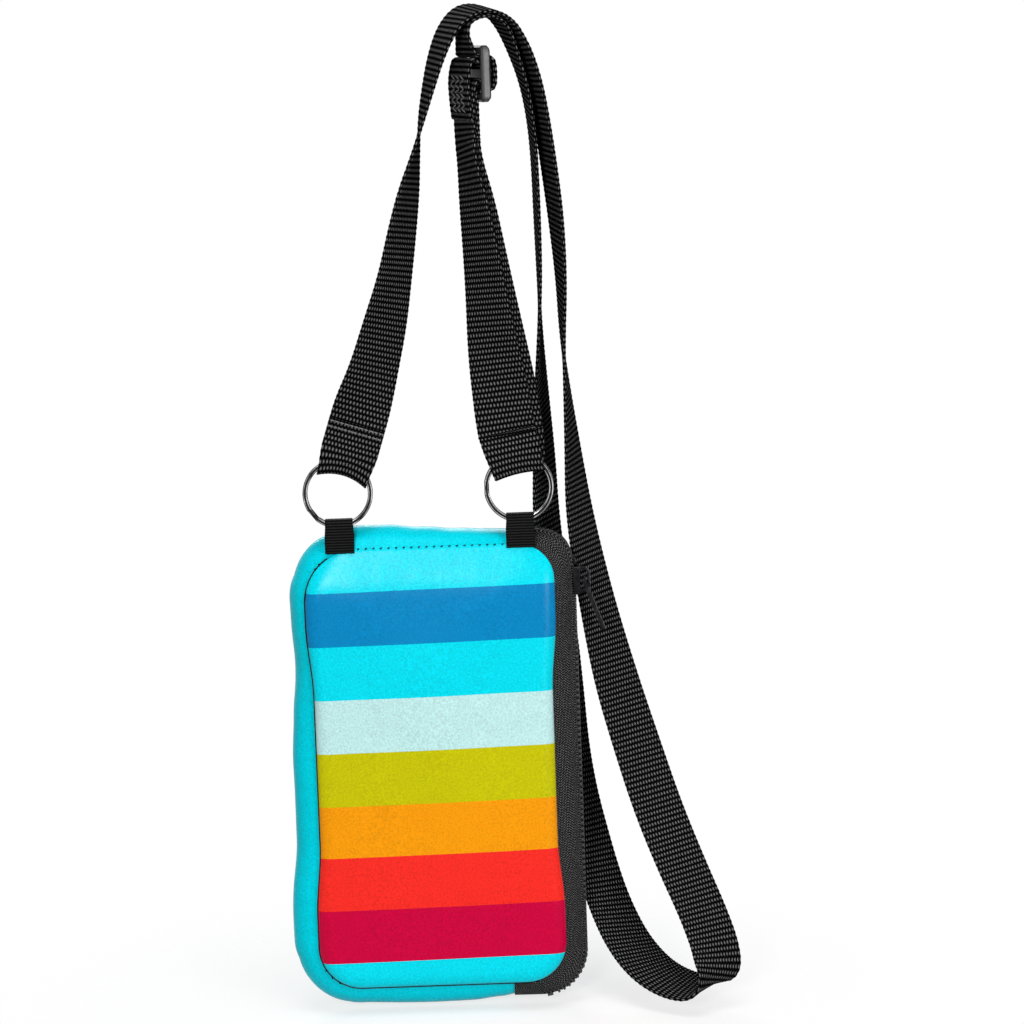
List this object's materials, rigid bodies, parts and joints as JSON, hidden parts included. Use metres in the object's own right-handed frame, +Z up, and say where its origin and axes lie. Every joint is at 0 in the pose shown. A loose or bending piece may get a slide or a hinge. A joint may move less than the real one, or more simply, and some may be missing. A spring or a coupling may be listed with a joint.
{
  "type": "phone pouch",
  "caption": "Upright soft phone pouch with a striped front, a zip down one side, split rings on ribbon tabs and an adjustable crossbody webbing strap.",
  "frame": {"origin": "hang point: the underside of the strap's top bend, where a hook or a shoulder carries it", "axes": "+Z up, along the hanging strap; +X to the right in the front view, towards the zip; +Y to the back of the pouch"},
  "size_m": [0.155, 0.0697, 0.3516],
  "materials": {
    "striped_neoprene": "matte",
    "neoprene": "matte",
    "zip_tape": "matte",
    "zip_coil": "satin",
    "dark_metal": "satin",
    "ring_metal": "polished",
    "ribbon": "matte",
    "webbing": "matte",
    "adjuster_plastic": "satin"
  },
  "bodies": {
    "strap": {"strap_long": "webbing", "strap_upper": "webbing", "strap_right": "webbing", "strap_tail": "webbing", "strap_left_end": "webbing", "strap_right_end": "webbing"},
    "pouch": {"front_panel": "striped_neoprene", "back_panel": "neoprene", "gusset": "neoprene", "zip_tape_front": "zip_tape", "zip_tape_back": "zip_tape", "zip_coil_front": "zip_coil", "zip_coil_back": "zip_coil", "zip_top_stops": "dark_metal", "zip_bottom_stop": "dark_metal", "zip_end_cover": "zip_tape", "tab_left": "ribbon", "tab_right": "ribbon"},
    "ring_left": {"ring_left": "ring_metal"},
    "ring_right": {"ring_right": "ring_metal"},
    "zip_slider": {"zip_slider": "dark_metal"},
    "zip_pull": {"zip_pull": "dark_metal"},
    "adjuster": {"adjuster_frame": "adjuster_plastic", "adjuster_wrap": "webbing", "adjuster_tail_loop": "webbing"}
  },
  "joints": [
    {"name": "ring_left_turn", "type": "hinge", "parent": "strap", "child": "ring_left", "pos_m": [-0.056, -0.0085, -0.1635], "axis": [0, 1, 0], "continuous": true},
    {"name": "ring_right_turn", "type": "hinge", "parent": "strap", "child": "ring_right", "pos_m": [0.0072, -0.0085, -0.1635], "axis": [0, 1, 0], "continuous": true},
    {"name": "pouch_swing", "type": "hinge", "parent": "strap", "child": "pouch", "pos_m": [-0.0244, -0.0085, -0.1742], "axis": [1, 0, 0], "range_deg": [-80, 0]},
    {"name": "zip_slide", "type": "slide", "parent": "pouch", "child": "zip_slider", "axis": [0, 0, -1], "range_m": [0, 0.126], "deforming": ["zip_coil_front", "zip_coil_back"]},
    {"name": "pull_swing", "type": "hinge", "parent": "zip_slider", "child": "zip_pull", "pos_m": [0.02885, 0, -0.198], "axis": [0, -1, 0], "range_deg": [-20, 140]},
    {"name": "adjuster_slide", "type": "slide", "parent": "strap", "child": "adjuster", "axis": [0.0513, -0.0614, -0.9968], "range_m": [0, 0.06], "deforming": ["strap_upper", "strap_right", "strap_tail"]}
  ]
}
